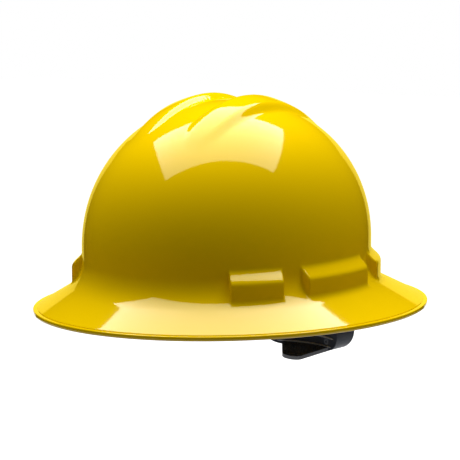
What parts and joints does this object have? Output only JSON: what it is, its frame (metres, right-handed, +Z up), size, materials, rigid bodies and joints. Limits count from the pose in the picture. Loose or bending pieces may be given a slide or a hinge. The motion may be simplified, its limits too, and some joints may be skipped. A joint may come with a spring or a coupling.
{
  "type": "full brim hard hat",
  "caption": "Full brim safety helmet: dome with two crown ridges, socket bosses round its foot, and an inner harness with crown webbing, headband and a knob ratchet at the nape.",
  "frame": {"origin": "where the dome's upright axis meets the plane of the brim's lower edge, at the centre of the space the head fills", "axes": "+X to the wearer's left, +Y to the back of the head, +Z up through the crown"},
  "size_m": [0.276, 0.32, 0.2114],
  "materials": {
    "shell_plastic": "bright yellow moulded polyethylene with a high gloss",
    "webbing": "black woven nylon webbing",
    "pad_fabric": "black knitted cloth over foam",
    "screw_steel": "zinc plated steel",
    "knob_plastic": "black moulded plastic, fine texture",
    "gear_plastic": "natural acetal",
    "suspension_plastic": "blue-black moulded plastic with a satin face"
  },
  "bodies": {
    "shell": {"shell": "shell_plastic"},
    "harness": {"key_front_left": "suspension_plastic", "key_front_right": "suspension_plastic", "key_rear_left": "suspension_plastic", "key_rear_right": "suspension_plastic", "key_side_left": "suspension_plastic", "key_side_right": "suspension_plastic", "crown_strap_front_left": "webbing", "crown_strap_front_right": "webbing", "crown_strap_side": "webbing", "headband": "suspension_plastic", "brow_pad": "pad_fabric"},
    "carrier": {"slider_left": "suspension_plastic", "slider_right": "suspension_plastic", "pivot_cap_left": "suspension_plastic", "pivot_cap_right": "suspension_plastic"},
    "nape": {"nape_arm_left": "suspension_plastic", "nape_arm_right": "suspension_plastic", "housing_front": "suspension_plastic", "housing_back": "suspension_plastic", "nape_scoop": "suspension_plastic", "housing_screw_1": "screw_steel", "housing_screw_2": "screw_steel", "housing_screw_3": "screw_steel", "housing_screw_4": "screw_steel"},
    "knob": {"knob": "knob_plastic", "knob_screw": "screw_steel", "knob_cap": "knob_plastic", "pinion": "gear_plastic", "pawl": "gear_plastic"},
    "rack_left": {"rack_left": "gear_plastic"},
    "rack_right": {"rack_right": "gear_plastic"}
  },
  "joints": [
    {"name": "suspension_release", "type": "slide", "parent": "shell", "child": "harness", "axis": [0, 0, -1], "range_m": [0, 0.03]},
    {"name": "nape_slide", "type": "slide", "parent": "harness", "child": "carrier", "axis": [0, 1, 0], "range_m": [-0.0104, 0.0104]},
    {"name": "nape_tilt", "type": "hinge", "parent": "carrier", "child": "nape", "pos_m": [0, 0.015, 0.002], "axis": [1, 0, 0], "range_deg": [-15, 4]},
    {"name": "knob_turn", "type": "hinge", "parent": "nape", "child": "knob", "pos_m": [0, 0.1135, -0.029], "axis": [0, 1, 0], "range_deg": [-120, 120]},
    {"name": "rack_left_slide", "type": "slide", "parent": "nape", "child": "rack_left", "axis": [1, 0, 0], "range_m": [-0.0105, 0.0105]},
    {"name": "rack_right_slide", "type": "slide", "parent": "nape", "child": "rack_right", "axis": [1, 0, 0], "range_m": [-0.0105, 0.0105]}
  ],
  "couplings": [
    {"joint": "rack_left_slide", "follows": "nape_slide", "ratio": 1},
    {"joint": "rack_right_slide", "follows": "nape_slide", "ratio": -1},
    {"joint": "knob_turn", "follows": "nape_slide", "rad_per_m": 200}
  ]
}
